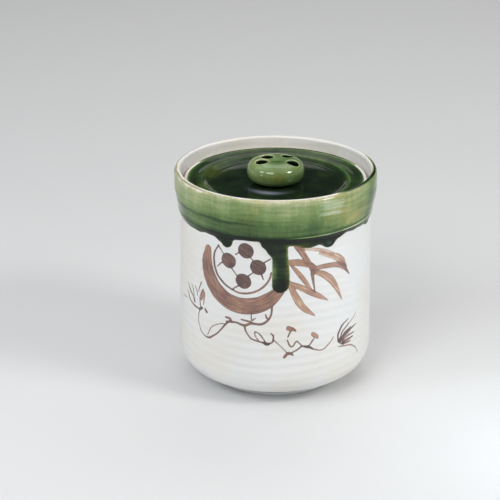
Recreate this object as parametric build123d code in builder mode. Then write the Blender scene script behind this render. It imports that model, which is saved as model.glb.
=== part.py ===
from build123d import *
from math import cos, radians, sin
import os

# Fresh-water jar of the tea room: a thrown stoneware cylinder with a thick collar, and a sunk lid
# with a hollow pierced knob. Millimetres, +Z up. The origin is on the wheel's axis, in the plane that
# the jar stands on, and -Y is the painted front.

# Jar, outside
RIM_HEIGHT = 188.7
COLLAR_HEIGHT = 35.2
COLLAR_RADIUS = 85.2
COLLAR_FULLEST = 22.0
COLLAR_EDGE = 0.6
COLLAR_TUCK = 0.8
COLLAR_LEAN = 0.1  # out per millimetre up, at the collar's lower edge
COLLAR_OVERHANG = 4.0  # collar's fullest face, out from the wall under it
TUCK_HEIGHT = 5.0
BELLY_SWELL = 2.0  # belly, out from the wall under the collar
CORNER_HEIGHT = 34.0
CORNER_FULLNESS = 0.745
FOOT_RADIUS = 56.2
FOOT_HEIGHT = 8.0
FOOT_WIDTH = 7.0
FOOT_ROUND = 1.2

# Jar, inside
WALL_THICKNESS = 6.0
FLOOR_THICKNESS = 7.0
INNER_CORNER = 24.0
RIM_THICKNESS = 5.9  # collar's fullest face, out from the mouth at the lid's seat
LIP_THICKNESS = 4.8
LIP_ROUND = 2.0
LIP_SHARE = 0.45  # most of the lip's thickness that each of its two rounds can take
SEAT_DEPTH = 13.5
LEDGE_WIDTH = 11.3
LEDGE_THICKNESS = 8.2
LEDGE_EDGE = 4.5
LEDGE_ROUND = 1.1

# Lid
LID_GAP = 1.6
LID_EDGE_THICKNESS = 5.0
LID_FLOOR_THICKNESS = 5.5
LEDGE_CLEARANCE = 3.0
RIDGE_INSET = 17.2  # raised ring, in from the mouth
RIDGE_DROP = 2.6
CHANNEL_DROP = 3.4
WELL_SLOPE = 8.0
WELL_DEPTH = 6.6
LID_BORDER = 2.6
BORDER_SLOPE = 0.1  # up per millimetre out, where the channel meets the border
LID_ROUND = 1.2

# Knob
KNOB_RADIUS = 24.4
KNOB_HEIGHT = 21.6
KNOB_EQUATOR = 11.6
KNOB_WALL = 4.8
NECK_RADIUS = 14.5
NECK_HEIGHT = 2.0
SHOULDER_SLOPE = 0.1  # up per millimetre out, where the ball leaves the neck
CROWN_RADIUS = 9.0
HOLE_RADIUS = 5.2
# Four holes cut by hand, so unevenly: degrees from +X, and distance of the centre from the axis
KNOB_HOLES = ((-26, 16.0), (43, 14.0), (139, 9.6), (207, 13.0))

# Glaze
COAT = 0.8
BAND = 2.2
RUN_THICKNESS = 1.0
RUN_MARGIN = 5.0
END_SHARE = 0.49  # radius of a run's rounded end, as a share of the run's width
POOL = 1.2
RIDGE_COAT = 0.4
# Runs below the collar, all round: degrees from the front towards +X, width, and drop
RUNS = (
    (-66, 14.0, 5.5),
    (-46, 12.0, 5.5),
    (-29, 12.0, 10.4),
    (3, 15.0, 46.1),
    (24, 24.0, 8.0),
    (35, 16.0, 10.8),
    (64, 12.0, 6.5),
    (98, 16.0, 8.0),
    (133, 12.0, 21.0),
    (168, 22.0, 7.0),
    (206, 13.0, 33.0),
    (238, 18.0, 9.0),
    (266, 12.0, 7.0),
)

top_radius = COLLAR_RADIUS - COLLAR_OVERHANG
belly_radius = top_radius + BELLY_SWELL
mouth_radius = COLLAR_RADIUS - RIM_THICKNESS
ridge_radius = mouth_radius - RIDGE_INSET
collar_low = RIM_HEIGHT - COLLAR_HEIGHT
seat_height = RIM_HEIGHT - SEAT_DEPTH
body_top = seat_height - LEDGE_THICKNESS
floor_top = FOOT_HEIGHT + FLOOR_THICKNESS
ledge_radius = mouth_radius - LEDGE_WIDTH
lid_radius = mouth_radius - LID_GAP
lid_top = seat_height + LID_EDGE_THICKNESS
well_height = lid_top - WELL_DEPTH
lid_bottom = well_height - LID_FLOOR_THICKNESS
coat_radius = lid_radius - LID_BORDER
lip_round = min(LIP_ROUND, LIP_SHARE * LIP_THICKNESS)


def wall_radius(height):
    """Outer face of the wall: it leans in a little from the belly up to the collar."""
    share = (height - CORNER_HEIGHT) / (collar_low - CORNER_HEIGHT)
    return belly_radius + (top_radius - belly_radius) * share


def corner_point():
    """Fullest point of the bottom corner, which is a little squarer than an ellipse."""
    out = FOOT_RADIUS + (belly_radius - FOOT_RADIUS) * CORNER_FULLNESS
    up = CORNER_HEIGHT - (CORNER_HEIGHT - FOOT_HEIGHT) * CORNER_FULLNESS
    return (out, up)


def collar_side(coat=0.0):
    """Outer outline of the collar, from its lower edge up to the crest, with a coat on it."""
    edge = top_radius + COLLAR_EDGE + coat
    return (
        (edge, collar_low),
        (edge + COLLAR_TUCK, collar_low + TUCK_HEIGHT),
        (COLLAR_RADIUS + coat, collar_low + COLLAR_FULLEST),
        (COLLAR_RADIUS + coat, RIM_HEIGHT - LIP_THICKNESS / 2),
    )


def lid_outline(pool=0.0, thin=0.0):
    """Top of the lid from the knob's neck to its border, raised by a pool and by a thin coat."""
    ridge_height = lid_top - RIDGE_DROP
    channel_radius = (ridge_radius + coat_radius) / 2
    return (
        (NECK_RADIUS, well_height + pool),
        (ridge_radius - WELL_SLOPE, well_height + pool),
        (ridge_radius, ridge_height + thin),
        (channel_radius, lid_top - CHANNEL_DROP + pool),
        (coat_radius, lid_top - RIDGE_DROP / 2 + thin),
    )


# Jar body: wall, bottom corner and floor
with BuildPart() as jar_body:
    with BuildSketch(Plane.XZ):
        with BuildLine():
            Line((0, FOOT_HEIGHT), (FOOT_RADIUS, FOOT_HEIGHT))
            Spline(
                (FOOT_RADIUS, FOOT_HEIGHT),
                corner_point(),
                (belly_radius, CORNER_HEIGHT),
                tangents=((1, 0), (0, 1)),
            )
            Polyline(
                (belly_radius, CORNER_HEIGHT),
                (top_radius, collar_low),
                (top_radius, body_top),
                (0, body_top),
                (0, FOOT_HEIGHT),
            )
        make_face()
    revolve(axis=Axis.Z)
    with BuildSketch(Plane.XZ) as hollow:
        with BuildLine():
            Polyline(
                (0, floor_top),
                (belly_radius - WALL_THICKNESS, floor_top),
                (belly_radius - WALL_THICKNESS, CORNER_HEIGHT + INNER_CORNER),
                (top_radius - WALL_THICKNESS, body_top),
                (0, body_top),
                close=True,
            )
        make_face()
        fillet(hollow.vertices().group_by(Axis.Y)[0].sort_by(Axis.X)[-1], INNER_CORNER)
    revolve(axis=Axis.Z, mode=Mode.SUBTRACT)
jar_body.part.label = "jar_body"

# Foot ring: turned on the wheel, flat underneath, with both lower edges softened
with BuildPart() as foot_ring:
    with BuildSketch(Plane.XY):
        Circle(FOOT_RADIUS)
        Circle(FOOT_RADIUS - FOOT_WIDTH, mode=Mode.SUBTRACT)
    extrude(amount=FOOT_HEIGHT)
    fillet(foot_ring.edges().group_by(Axis.Z)[0], FOOT_ROUND)
foot_ring.part.label = "foot_ring"

# Lid ledge: gallery on top of the wall, with a sloped underside where it stands into the jar
with BuildPart() as lid_ledge:
    with BuildSketch(Plane.XZ):
        with BuildLine():
            Polyline(
                (top_radius, body_top),
                (top_radius, seat_height),
                (ledge_radius, seat_height),
                (ledge_radius, seat_height - LEDGE_EDGE),
                (top_radius - WALL_THICKNESS, body_top),
                close=True,
            )
        make_face()
    revolve(axis=Axis.Z)
    fillet(lid_ledge.edges().filter_by(GeomType.CIRCLE).group_by(SortBy.RADIUS)[0], LEDGE_ROUND)
lid_ledge.part.label = "lid_ledge"

# Rim collar: wraps the top of the wall, steps in over the ledge and ends in the rounded lip
with BuildPart() as rim_collar:
    with BuildSketch(Plane.XZ) as collar_section:
        side = collar_side()
        with BuildLine():
            Spline(*side, tangents=((COLLAR_LEAN, 1), (0, 1)))
            Polyline(
                side[-1],
                (COLLAR_RADIUS, RIM_HEIGHT),
                (COLLAR_RADIUS - LIP_THICKNESS, RIM_HEIGHT),
                (mouth_radius, seat_height),
                (top_radius, seat_height),
                (top_radius, collar_low),
                side[0],
            )
        make_face()
        fillet(collar_section.vertices().group_by(Axis.Y)[-1], lip_round)
    revolve(axis=Axis.Z)
rim_collar.part.label = "rim_collar"

# Collar glaze: a coat on the collar's outside, a narrow band on the wall under it, and the runs
with BuildPart() as run_prisms:
    for turn, width, drop in RUNS:
        outward = Vector(sin(radians(turn)), -cos(radians(turn)), 0)
        start = outward * (top_radius - WALL_THICKNESS) + Vector(0, 0, collar_low)
        with BuildSketch(Plane(origin=start, x_dir=outward.cross(Vector(0, 0, -1)), z_dir=outward)):
            RectangleRounded(width, 2 * drop, END_SHARE * min(width, 2 * drop))
        extrude(amount=2 * WALL_THICKNESS)

with BuildPart() as collar_glaze:
    band_low = collar_low - BAND
    run_low = collar_low - max(drop for turn, width, drop in RUNS) - RUN_MARGIN
    with BuildSketch(Plane.XZ):
        with BuildLine():
            Polyline(
                (wall_radius(run_low), run_low),
                (wall_radius(run_low) + RUN_THICKNESS, run_low),
                (wall_radius(band_low) + RUN_THICKNESS, band_low),
                (wall_radius(band_low), band_low),
                close=True,
            )
        make_face()
    revolve(axis=Axis.Z)
    add(run_prisms.part, mode=Mode.INTERSECT)
    with BuildSketch(Plane.XZ):
        clay = collar_side()
        coat = collar_side(COAT)
        with BuildLine():
            Spline(*clay, tangents=((COLLAR_LEAN, 1), (0, 1)))
            Line(clay[-1], coat[-1])
            Spline(*coat, tangents=((COLLAR_LEAN, 1), (0, 1)))
            Polyline(
                coat[0],
                (wall_radius(band_low) + RUN_THICKNESS, band_low),
                (wall_radius(band_low), band_low),
                (top_radius, collar_low),
                clay[0],
            )
        make_face()
    revolve(axis=Axis.Z)
collar_glaze.part.label = "collar_glaze"

# Lid plate: a brim that lies on the ledge, a raised ring, and a well that sinks into the mouth
with BuildPart() as lid_plate:
    with BuildSketch(Plane.XZ) as plate_section:
        top = lid_outline()
        with BuildLine():
            Line((0, well_height), top[0])
            Line(top[0], top[1])
            Spline(*top[1:], tangents=((1, 0), (1, BORDER_SLOPE)))
            Polyline(
                top[-1],
                (lid_radius, lid_top),
                (lid_radius, seat_height),
                (ledge_radius - LEDGE_CLEARANCE, seat_height),
                (ridge_radius - WELL_SLOPE, lid_bottom),
                (0, lid_bottom),
                (0, well_height),
            )
        make_face()
        fillet(plate_section.vertices().sort_by(Axis.X)[-2:], LID_ROUND)
    revolve(axis=Axis.Z)
lid_plate.part.label = "lid_plate"

# Lid glaze: deep in the well, thin over the raised ring, deep again in the channel
with BuildPart() as lid_glaze:
    with BuildSketch(Plane.XZ):
        clay = lid_outline()
        coat = lid_outline(POOL, RIDGE_COAT)
        with BuildLine():
            Line(clay[0], clay[1])
            Spline(*clay[1:], tangents=((1, 0), (1, BORDER_SLOPE)))
            Line(clay[-1], coat[-1])
            Spline(*coat[1:], tangents=((1, 0), (1, BORDER_SLOPE)))
            Line(coat[1], coat[0])
            Line(coat[0], clay[0])
        make_face()
    revolve(axis=Axis.Z)
lid_glaze.part.label = "lid_glaze"

# Lid knob: a flattened hollow ball on a short neck, cut through its crown by four holes
with BuildPart() as lid_knob:
    equator = well_height + KNOB_EQUATOR
    knob_top = well_height + KNOB_HEIGHT
    neck_top = (NECK_RADIUS, well_height + NECK_HEIGHT)
    with BuildSketch(Plane.XZ):
        with BuildLine():
            Polyline((0, knob_top), (0, well_height), (NECK_RADIUS, well_height), neck_top)
            Spline(neck_top, (KNOB_RADIUS, equator), tangents=((1, SHOULDER_SLOPE), (0, 1)))
            Spline((KNOB_RADIUS, equator), (CROWN_RADIUS, knob_top), tangents=((0, 1), (-1, 0)))
            Line((CROWN_RADIUS, knob_top), (0, knob_top))
        make_face()
    revolve(axis=Axis.Z)
    with BuildSketch(Plane.XZ):
        half_height = knob_top - equator - KNOB_WALL
        flat = KNOB_RADIUS - KNOB_WALL - half_height
        with BuildLine():
            Line((0, equator - half_height), (flat, equator - half_height))
            CenterArc((flat, equator), half_height, start_angle=-90, arc_size=180)
            Polyline((flat, equator + half_height), (0, equator + half_height), (0, equator - half_height))
        make_face()
    revolve(axis=Axis.Z, mode=Mode.SUBTRACT)
    with BuildSketch(Plane.XY.offset(equator)):
        for turn, reach in KNOB_HOLES:
            with PolarLocations(reach, 1, start_angle=turn):
                Circle(HOLE_RADIUS)
    extrude(amount=KNOB_HEIGHT, mode=Mode.SUBTRACT)
lid_knob.part.label = "lid_knob"

os.makedirs("parts", exist_ok=True)
for piece in (jar_body, foot_ring, lid_ledge, rim_collar, collar_glaze, lid_plate, lid_glaze, lid_knob):
    export_step(piece.part, f"parts/{piece.part.label}.step")
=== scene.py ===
# %% [markdown]
# A water jar of the tea room, thrown and painted by hand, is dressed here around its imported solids.
# The solids give every place and size. This script adds what the wheel, the brush, the glaze and
# the kiln leave on such a jar: throwing marks, iron brushwork, copper-green glaze and its runs.

# %% Load the frame
import math

import bpy
import numpy as np
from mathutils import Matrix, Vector


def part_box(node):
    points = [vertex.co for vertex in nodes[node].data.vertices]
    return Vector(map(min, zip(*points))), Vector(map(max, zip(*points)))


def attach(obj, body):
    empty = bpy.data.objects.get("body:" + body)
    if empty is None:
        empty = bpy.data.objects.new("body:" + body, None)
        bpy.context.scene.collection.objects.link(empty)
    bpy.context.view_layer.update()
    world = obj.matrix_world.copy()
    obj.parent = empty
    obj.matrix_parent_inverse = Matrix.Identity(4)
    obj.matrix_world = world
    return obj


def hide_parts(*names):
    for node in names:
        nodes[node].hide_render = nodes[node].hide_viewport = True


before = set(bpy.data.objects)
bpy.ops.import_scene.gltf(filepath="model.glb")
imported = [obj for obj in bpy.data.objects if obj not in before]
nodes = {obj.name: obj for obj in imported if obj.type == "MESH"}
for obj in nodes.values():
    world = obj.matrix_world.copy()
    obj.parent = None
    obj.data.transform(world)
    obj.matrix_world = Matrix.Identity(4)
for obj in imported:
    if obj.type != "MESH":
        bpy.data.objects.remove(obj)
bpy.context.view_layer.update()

MM = 0.001
print("solids to dress:", sorted(nodes))

# %% [markdown]
# Places are read from the solids, so that the dressed jar follows them. Lengths are in millimetres
# until a mesh is made, because that is how a potter measures. The few values that a box can't give,
# such as the lip's thickness, are written once here.

# %% Sizes of the jar


def reach(node):
    """How far a solid reaches from the wheel's axis, in millimetres."""
    low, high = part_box(node)
    return max(-low.x, high.x) / MM


def heights(node):
    """Lowest and highest point of a solid, in millimetres."""
    low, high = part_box(node)
    return low.z / MM, high.z / MM


FOOT_HEIGHT, WALL_TOP = heights("jar_body")
COLLAR_LOW, RIM_TOP = heights("rim_collar")
FOOT_RADIUS = reach("foot_ring")
BELLY_RADIUS = reach("jar_body")
WALL_THICKNESS = 6.0
FLOOR_THICKNESS = 7.0
CORNER_TOP = 34.0
CORNER_POWER = 2.35
INNER_CORNER = 24.0
TOP_RADIUS = BELLY_RADIUS - 2.0
COLLAR_RADIUS = TOP_RADIUS + 4.0
COLLAR_EDGE = 0.6
COLLAR_FULLEST = COLLAR_LOW + 22.0
LIP_THICKNESS = 4.8
LIP_ROUND = 2.1
SEAT_HEIGHT = heights("lid_ledge")[1]
MOUTH_RADIUS = COLLAR_RADIUS - 5.9
COAT = 0.8
print(f"jar {2 * COLLAR_RADIUS:.1f} across, {RIM_TOP:.1f} tall to the rim")

# %% [markdown]
# Everything thrown on a wheel is a section turned round an axis. A sheet holds the section as rows
# and the turn as columns, and each of its points keeps three numbers: turn, out and up. That makes
# it easy to paint or thicken the sheet while it is still flat, and to throw it afterwards.

# %% Sheets for the wheel


def columns(fine_reach, fine_step, coarse_step):
    """Turns in degrees from the front, close together within fine_reach of it."""
    fine = np.linspace(-fine_reach, fine_reach, round(2 * fine_reach / fine_step) + 1)
    rest = 360 - 2 * fine_reach
    coarse = np.linspace(fine_reach, fine_reach + rest, max(2, round(rest / coarse_step)) + 1)
    return np.radians(np.concatenate([fine, coarse[1:-1]]))


def all_round(step):
    """Turns of a whole circle, evenly spaced."""
    return np.linspace(-math.pi, math.pi, round(360 / step), endpoint=False)


def rows(corners, step):
    """Points along a polyline of (out, up), evenly spaced, keeping its corners."""
    points = [corners[0]]
    for start, end in zip(corners, corners[1:]):
        count = max(1, round(math.dist(start, end) / step))
        for share in np.linspace(0, 1, count + 1)[1:]:
            points.append(tuple(np.array(start) + share * (np.array(end) - np.array(start))))
    return points


def smooth_step(low, high, value):
    share = np.clip((value - low) / (high - low), 0, 1)
    return share * share * (3 - 2 * share)


def new_mesh(name, points, faces, attributes):
    """Mesh object in metres from points in millimetres, with its point attributes."""
    mesh = bpy.data.meshes.new(name)
    mesh.from_pydata((np.asarray(points) * MM).tolist(), [], faces)
    for label, values in attributes.items():
        layer = mesh.attributes.new(label, "FLOAT", "POINT")
        layer.data.foreach_set("value", np.asarray(values, dtype=np.float32))
    piece = bpy.data.objects.new(name, mesh)
    bpy.context.scene.collection.objects.link(piece)
    return piece


def sheet_faces(row_count, column_count, ring=False):
    """Faces of a sheet that closes all round, and from its last row to its first if it is a ring."""
    last = row_count if ring else row_count - 1
    low = np.arange(last)[:, None] * column_count
    high = (np.arange(1, last + 1)[:, None] % row_count) * column_count
    here = np.arange(column_count)[None, :]
    there = (here + 1) % column_count
    quads = np.stack([low + here, low + there, high + there, high + here], axis=-1)
    return quads.reshape(-1, 4)


def wheel_sheet(name, turns, outline, ring=False, **attributes):
    """A sheet whose section is outline, anticlockwise. A row on the axis becomes one point."""
    outline = np.array(outline)
    turn, out = np.meshgrid(turns, outline[:, 0])
    up = np.repeat(outline[:, 1:2], len(turns), axis=1)
    quads = sheet_faces(len(outline), len(turns), ring)
    index = np.arange(turn.size).reshape(turn.shape)
    for row in (0, len(outline) - 1):
        if out[row, 0] < 1e-6:
            index[row, :] = index[row, 0]
    kept, packed = np.unique(index, return_inverse=True)
    faces = [tuple(dict.fromkeys(face)) for face in packed.reshape(-1)[quads].tolist()]
    values = {"turn": turn, "out": out, "up": up, **attributes}
    flat = {}
    for label, value in values.items():
        full = value(turn, out, up) if callable(value) else value
        flat[label] = np.broadcast_to(full, turn.shape).reshape(-1)[kept]
    places = np.stack([flat["out"] * np.sin(flat["turn"]), -flat["out"] * np.cos(flat["turn"]), flat["up"]], 1)
    return new_mesh(name, places, faces, flat)


print("columns on the painted wall:", len(columns(78, 0.52, 2.0)))

# %% [markdown]
# Node trees are wired with one short helper, for geometry and materials alike. It adds a node, sets
# its options, feeds its inputs with values or with other nodes' outputs, and returns the node.

# %% A helper that wires nodes


class Wiring:
    """Adds nodes to a tree and lays them out in the order they are made."""

    def __init__(self, tree):
        self.tree = tree
        self.count = 0

    def add(self, kind, inputs=None, **options):
        node = self.tree.nodes.new(kind)
        node.location = (200 * (self.count % 14), -320 * (self.count // 14))
        self.count += 1
        for label, value in options.items():
            setattr(node, label, value)
        for label, value in (inputs or {}).items():
            self.feed(node.inputs[label], value)
        return node

    def feed(self, socket, value):
        if isinstance(value, bpy.types.NodeSocket):
            self.tree.links.new(value, socket)
        else:
            socket.default_value = value

    def math(self, operation, first, second=0.0, clamp=False):
        node = self.add("ShaderNodeMath", {0: first, 1: second}, operation=operation, use_clamp=clamp)
        return node.outputs[0]

    def fit(self, value, low, high, to_low=0.0, to_high=1.0):
        """Maps a range smoothly onto another and holds it there."""
        inputs = {"Value": value, "From Min": low, "From Max": high, "To Min": to_low, "To Max": to_high}
        return self.add("ShaderNodeMapRange", inputs, interpolation_type="SMOOTHSTEP").outputs[0]

    def mix(self, factor, first, second, blend="MIX"):
        node = self.add("ShaderNodeMix", data_type="RGBA", blend_type=blend)
        for index, value in ((0, factor), (6, first), (7, second)):
            self.feed(node.inputs[index], value)
        return node.outputs[2]

    def noise(self, vector, scale, detail=3.0, roughness=0.5, **more):
        inputs = {"Vector": vector, "Scale": scale, "Detail": detail, "Roughness": roughness, **more}
        return self.add("ShaderNodeTexNoise", inputs).outputs["Fac"]

    def ramp(self, value, stops):
        node = self.add("ShaderNodeValToRGB", {"Fac": value})
        elements = node.color_ramp.elements
        while len(elements) < len(stops):
            elements.new(0.5)
        for element, (place, colour) in zip(elements, stops):
            element.position = place
            element.color = (*colour, 1.0)
        return node.outputs["Color"]


def new_group(name, kind, inputs, outputs):
    """Node group with named sockets: inputs are (name, type, default) and outputs (name, type)."""
    tree = bpy.data.node_groups.new(name, kind)
    for label, socket, default in inputs:
        item = tree.interface.new_socket(label, in_out="INPUT", socket_type=socket)
        if default is not None:
            item.default_value = default
    for label, socket in outputs:
        tree.interface.new_socket(label, in_out="OUTPUT", socket_type=socket)
    wiring = Wiring(tree)
    return wiring, wiring.add("NodeGroupInput").outputs, wiring.add("NodeGroupOutput").inputs


# %% [markdown]
# A hand-thrown jar is never a perfect turned shape. Fingers leave a shallow ridge that climbs as
# the clay spins, and drying pulls the circle a little out of round. One tree throws every sheet of
# the jar with the same marks, so that pieces which touch move together.

# %% The wheel as a node tree


def wheel_tree():
    wiring, given, result = new_group(
        "throw_on_the_wheel",
        "GeometryNodeTree",
        (
            ("Sheet", "NodeSocketGeometry", None),
            ("Ridge depth", "NodeSocketFloat", 0.0001),
            ("Ridge pitch", "NodeSocketFloat", 0.007),
            ("Out of round", "NodeSocketFloat", 0.0002),
            ("Seed", "NodeSocketFloat", 3.0),
            ("Finish", "NodeSocketMaterial", None),
        ),
        (("Thrown", "NodeSocketGeometry"),),
    )

    def kept(label):
        return wiring.add("GeometryNodeInputNamedAttribute", {"Name": label}, data_type="FLOAT").outputs[0]

    turn = kept("turn")
    out = wiring.math("MULTIPLY", kept("out"), MM)
    up = wiring.math("MULTIPLY", kept("up"), MM)
    side = wiring.math("SINE", turn)
    back = wiring.math("MULTIPLY", wiring.math("COSINE", turn), -1.0)
    around = wiring.add("ShaderNodeCombineXYZ", {0: side, 1: back, 2: wiring.math("MULTIPLY", up, 12.0)})
    place = around.outputs[0]
    cloud = {"Vector": place, "W": given["Seed"], "Scale": 0.8, "Detail": 1.0}
    slow = wiring.add("ShaderNodeTexNoise", cloud, noise_dimensions="4D").outputs["Fac"]
    slow = wiring.math("SUBTRACT", slow, 0.5)
    climb = wiring.math("DIVIDE", up, given["Ridge pitch"])
    phase = wiring.math("ADD", wiring.math("MULTIPLY", climb, math.tau), turn)
    phase = wiring.math("ADD", phase, wiring.math("MULTIPLY", slow, 16.0))
    ridge = wiring.math("MULTIPLY", wiring.math("SINE", phase), given["Ridge depth"])
    swell = wiring.math("MULTIPLY", wiring.math("MULTIPLY", slow, 2.0), given["Out of round"])
    marks = wiring.math("MULTIPLY", wiring.math("ADD", ridge, swell), kept("free"))
    radius = wiring.math("ADD", out, marks)
    place = wiring.add(
        "ShaderNodeCombineXYZ",
        {0: wiring.math("MULTIPLY", radius, side), 1: wiring.math("MULTIPLY", radius, back), 2: up},
    )
    moved = wiring.add("GeometryNodeSetPosition", {"Geometry": given["Sheet"], "Position": place.outputs[0]})
    smooth = wiring.add("GeometryNodeSetShadeSmooth", {"Geometry": moved.outputs[0]})
    real = wiring.add("GeometryNodeRealizeInstances", {"Geometry": smooth.outputs[0]})
    last = wiring.add("GeometryNodeSetMaterial", {"Geometry": real.outputs[0], "Material": given["Finish"]})
    wiring.feed(result["Thrown"], last.outputs[0])
    return wiring.tree


WHEEL = wheel_tree()
print("wheel tree:", len(WHEEL.nodes), "nodes")


# %% [markdown]
# The modifier's inputs are set by each socket's identifier before the sheet is first evaluated. The
# evaluated result becomes the piece's own plain mesh, and the modifier goes, so that what rides on
# a body of the jar is nothing but a mesh.

# %% Throwing a sheet


def throw(piece, material, ridge=0.00016, out_of_round=0.0003):
    """Throws a flat sheet and leaves it as a plain mesh with its finish."""
    modifier = piece.modifiers.new("wheel", "NODES")
    modifier.node_group = WHEEL
    settings = {"Ridge depth": ridge, "Out of round": out_of_round, "Finish": material}
    for item in WHEEL.interface.items_tree:
        if item.in_out == "INPUT" and item.name in settings:
            modifier[item.identifier] = settings[item.name]
    graph = bpy.context.evaluated_depsgraph_get()
    thrown = bpy.data.meshes.new_from_object(piece.evaluated_get(graph))
    piece.modifiers.clear()
    flat = piece.data
    piece.data = thrown
    bpy.data.meshes.remove(flat)
    thrown.name = piece.name
    print(f"{piece.name}: {len(thrown.polygons)} faces")
    return piece


# %% [markdown]
# The jar wears a pale feldspar glaze: milky, a little uneven in tone, with tiny pits and a few iron
# specks. The group gives colour, roughness and height, and each material places it with its own
# warmth. Gloss stays in the material itself.

# %% The pale glaze as a node group


def pale_glaze_group():
    wiring, given, result = new_group(
        "pale_glaze",
        "ShaderNodeTree",
        (
            ("Place", "NodeSocketVector", None),
            ("Tone", "NodeSocketColor", (0.8, 0.78, 0.74, 1.0)),
            ("Unevenness", "NodeSocketFloat", 1.0),
        ),
        (("Color", "NodeSocketColor"), ("Roughness", "NodeSocketFloat"), ("Height", "NodeSocketFloat")),
    )
    place = given["Place"]
    clouds = wiring.noise(place, 22.0, 4.0)
    grain = wiring.noise(place, 420.0, 3.0)
    warm = wiring.mix(wiring.fit(clouds, 0.42, 0.68), given["Tone"], (0.76, 0.70, 0.60, 1.0))
    tone = wiring.mix(wiring.math("MULTIPLY", given["Unevenness"], 0.5), given["Tone"], warm)
    cells = wiring.add("ShaderNodeTexVoronoi", {"Vector": place, "Scale": 260.0, "Randomness": 1.0})
    specks = wiring.fit(cells.outputs["Distance"], 0.05, 0.11, 1.0, 0.0)
    chosen = wiring.fit(wiring.noise(place, 90.0, 1.0), 0.62, 0.70)
    specks = wiring.math("MULTIPLY", wiring.math("MULTIPLY", specks, chosen), 0.55)
    wiring.feed(result["Color"], wiring.mix(specks, tone, (0.28, 0.20, 0.14, 1.0)))
    wiring.feed(result["Roughness"], wiring.fit(clouds, 0.3, 0.7, 0.34, 0.44))
    soft = wiring.math("MULTIPLY", wiring.noise(place, 110.0, 2.0), 1.2)
    wiring.feed(result["Height"], wiring.math("ADD", soft, wiring.math("MULTIPLY", grain, 0.35)))
    return wiring.tree


def start_material(name, roughness):
    """Material with a shader whose plain values are set, and the wiring to dress it."""
    material = bpy.data.materials.new(name)
    material.use_nodes = True
    material.node_tree.nodes.clear()
    wiring = Wiring(material.node_tree)
    place = wiring.add("ShaderNodeTexCoord").outputs["Object"]
    shader = wiring.add("ShaderNodeBsdfPrincipled", {"Roughness": roughness})
    shader.inputs["IOR"].default_value = 1.52
    wiring.add("ShaderNodeOutputMaterial", {"Surface": shader.outputs[0]})
    return material, wiring, place, shader


def place_group(wiring, tree, **inputs):
    node = wiring.add("ShaderNodeGroup", node_tree=tree)
    for label, value in inputs.items():
        wiring.feed(node.inputs[label.replace("_", " ")], value)
    return node.outputs


def raise_surface(wiring, shader, height, distance):
    """Feeds a height in millimetres to the shader's normal."""
    inputs = {"Height": height, "Distance": distance * MM, "Strength": 1.0}
    bump = wiring.add("ShaderNodeBump", inputs)
    wiring.feed(shader.inputs["Normal"], bump.outputs[0])


PALE_GROUP = pale_glaze_group()


def pale_material(name, tone):
    material, wiring, place, shader = start_material(name, 0.3)
    glaze = place_group(wiring, PALE_GROUP, Place=place, Tone=(*tone, 1.0))
    wiring.feed(shader.inputs["Base Color"], glaze["Color"])
    wiring.feed(shader.inputs["Roughness"], glaze["Roughness"])
    raise_surface(wiring, shader, glaze["Height"], 0.02)
    return material


WHITE = (0.775, 0.768, 0.75)
WARM_WHITE = (0.88, 0.855, 0.81)
PALE = pale_material("pale_glaze", WHITE)
CREAM = pale_material("cream_glaze", WARM_WHITE)
print("pale glazes:", PALE.name, CREAM.name)
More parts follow.
